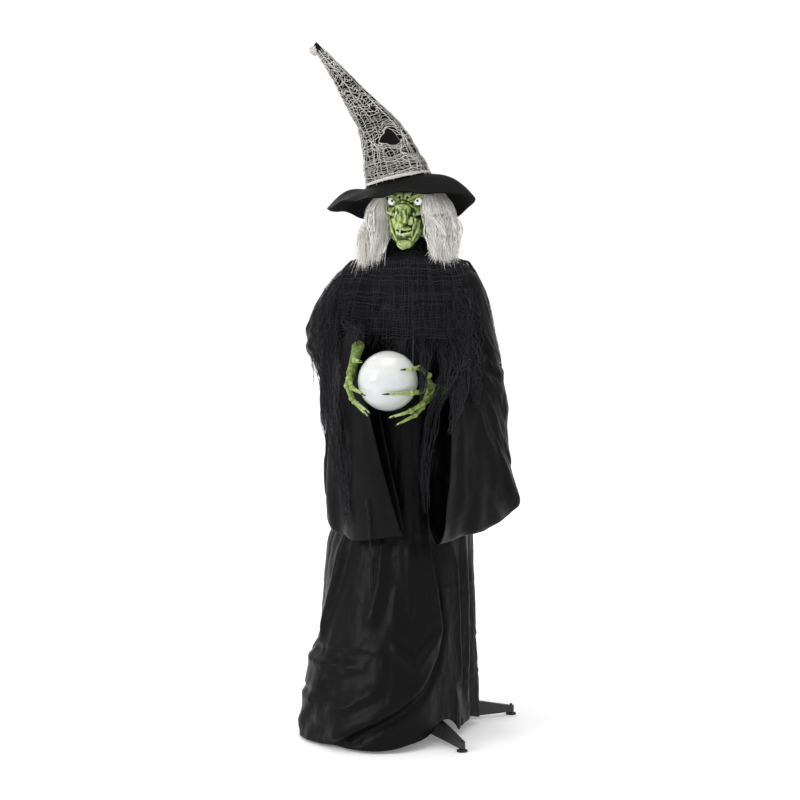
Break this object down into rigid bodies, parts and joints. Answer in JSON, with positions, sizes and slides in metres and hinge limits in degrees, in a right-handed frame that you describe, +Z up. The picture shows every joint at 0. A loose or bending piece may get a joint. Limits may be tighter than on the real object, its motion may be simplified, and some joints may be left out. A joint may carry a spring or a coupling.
{
  "type": "animated witch figure",
  "caption": "Free-standing animated witch with turning waist and head, talking jaw, lit eyes and arms that lift a lit globe, in a black robe and bent hat.",
  "frame": {"origin": "on the floor under the pole axis, at the stake hole in the base hub", "axes": "+Z up along the pole, the figure looks towards -Y, +X is the figure's own left"},
  "size_m": [0.6103, 0.6485, 1.8099],
  "materials": {
    "black_paint": "satin black powder coat",
    "foot_rubber": "matte",
    "zinc": "zinc plated",
    "black_plastic": "moulded, fine texture",
    "motor_can": "plated",
    "gear_plastic": "natural white acetal",
    "robe_cloth": "thin black polyester with a soft sheen",
    "black_gauze": "torn black cheesecloth",
    "cream_gauze": "cream cheesecloth",
    "hat_felt": "black crinkled cloth",
    "wig_hair": "pale grey synthetic hair",
    "green_skin": "painted latex, mottled green",
    "eye_lens": "translucent white",
    "lamp_board": "white lamp board",
    "circuit": "green circuit board",
    "battery_cell": "plain wrapped cells",
    "switch_red": "red",
    "globe_plastic": "pearly translucent white"
  },
  "bodies": {
    "base": {"base_hub": "black_paint", "legs": "black_paint", "screws": "zinc", "lower_pole": "black_paint", "middle_pole": "black_paint", "waist_case_lower": "black_plastic", "waist_case_upper": "black_plastic", "waist_motor": "motor_can", "robe_skirt": "robe_cloth"},
    "foot_fr_body": {"foot_fr": "foot_rubber"},
    "foot_fl_body": {"foot_fl": "foot_rubber"},
    "foot_rr_body": {"foot_rr": "foot_rubber"},
    "foot_rl_body": {"foot_rl": "foot_rubber"},
    "snap_low_body": {"snap_low": "zinc"},
    "snap_mid_body": {"snap_mid": "zinc"},
    "waist_pinion_body": {"waist_pinion": "gear_plastic"},
    "torso": {"torso_post": "black_paint", "waist_gear": "gear_plastic", "control_box": "black_plastic", "control_cover": "black_plastic", "batteries": "battery_cell", "circuit_board": "circuit", "speaker": "black_plastic", "shoulder_bracket": "black_paint", "shoulder_hanger": "black_paint", "neck_case": "black_plastic", "neck_lid": "black_plastic", "neck_motor": "motor_can", "robe_top": "robe_cloth", "shawl": "black_gauze", "shawl_strands": "black_gauze", "collar": "black_gauze"},
    "switch_body": {"power_switch": "switch_red"},
    "door_body": {"battery_door": "black_plastic"},
    "neck_pinion_body": {"neck_pinion": "gear_plastic"},
    "head": {"neck_shaft": "zinc", "neck_gear": "gear_plastic", "head_frame": "black_plastic", "mask_front": "green_skin", "back_shell": "black_plastic", "eyes": "eye_lens", "eye_lamps": "lamp_board", "jaw_motor": "motor_can", "wig_left": "wig_hair", "wig_right": "wig_hair", "hat_cone": "hat_felt", "hat_brim": "hat_felt", "hat_gauze": "cream_gauze"},
    "jaw_pinion_body": {"jaw_pinion": "gear_plastic"},
    "jaw": {"jaw_shell": "green_skin", "jaw_bracket": "zinc"},
    "arms": {"shoulder_bar": "zinc", "arm_left": "black_paint", "arm_right": "black_paint", "hand_left": "green_skin", "hand_right": "green_skin", "globe": "globe_plastic", "globe_lamp": "lamp_board", "sleeve_left": "robe_cloth", "sleeve_right": "robe_cloth"}
  },
  "joints": [
    {"name": "waist_twist", "type": "hinge", "parent": "base", "child": "torso", "pos_m": [0, 0, 0.78], "axis": [0, 0, 1], "range_deg": [-12, 12]},
    {"name": "waist_pinion_spin", "type": "hinge", "parent": "base", "child": "waist_pinion_body", "pos_m": [0, 0.05625, 0.77], "axis": [0, 0, 1], "range_deg": [-50, 50]},
    {"name": "head_turn", "type": "hinge", "parent": "torso", "child": "head", "pos_m": [0, 0, 1.19], "axis": [0, 0, 1], "range_deg": [-38, 22]},
    {"name": "neck_pinion_spin", "type": "hinge", "parent": "torso", "child": "neck_pinion_body", "pos_m": [0, 0.042, 1.19], "axis": [0, 0, 1], "range_deg": [-56, 96]},
    {"name": "jaw_open", "type": "hinge", "parent": "head", "child": "jaw", "pos_m": [0.00195, -0.01386, 1.346], "axis": [0.9903, 0.1392, 0], "range_deg": [0, 10]},
    {"name": "jaw_pinion_spin", "type": "hinge", "parent": "head", "child": "jaw_pinion_body", "pos_m": [-0.00111, 0.00792, 1.346], "axis": [0.9903, 0.1392, 0], "range_deg": [-28, 1]},
    {"name": "arm_lift", "type": "hinge", "parent": "torso", "child": "arms", "pos_m": [0, -0.03, 1.14], "axis": [-1, 0, 0], "range_deg": [0, 10]},
    {"name": "power_slide", "type": "slide", "parent": "torso", "child": "switch_body", "axis": [0, 0, 1], "range_m": [-0.0025, 0.0025]},
    {"name": "battery_door_slide", "type": "slide", "parent": "torso", "child": "door_body", "axis": [0, 0, -1], "range_m": [0, 0.03]},
    {"name": "snap_low_press", "type": "slide", "parent": "base", "child": "snap_low_body", "axis": [0, 1, 0], "range_m": [0, 0.003]},
    {"name": "snap_mid_press", "type": "slide", "parent": "base", "child": "snap_mid_body", "axis": [0, 1, 0], "range_m": [0, 0.003]},
    {"name": "foot_fr_level", "type": "slide", "parent": "base", "child": "foot_fr_body", "axis": [0, 0, -1], "range_m": [0, 0.006]},
    {"name": "foot_fl_level", "type": "slide", "parent": "base", "child": "foot_fl_body", "axis": [0, 0, -1], "range_m": [0, 0.006]},
    {"name": "foot_rr_level", "type": "slide", "parent": "base", "child": "foot_rr_body", "axis": [0, 0, -1], "range_m": [0, 0.006]},
    {"name": "foot_rl_level", "type": "slide", "parent": "base", "child": "foot_rl_body", "axis": [0, 0, -1], "range_m": [0, 0.006]}
  ],
  "couplings": [
    {"joint": "waist_pinion_spin", "follows": "waist_twist", "ratio": -4},
    {"joint": "neck_pinion_spin", "follows": "head_turn", "ratio": -2.5},
    {"joint": "jaw_pinion_spin", "follows": "jaw_open", "ratio": -2.6667}
  ]
}
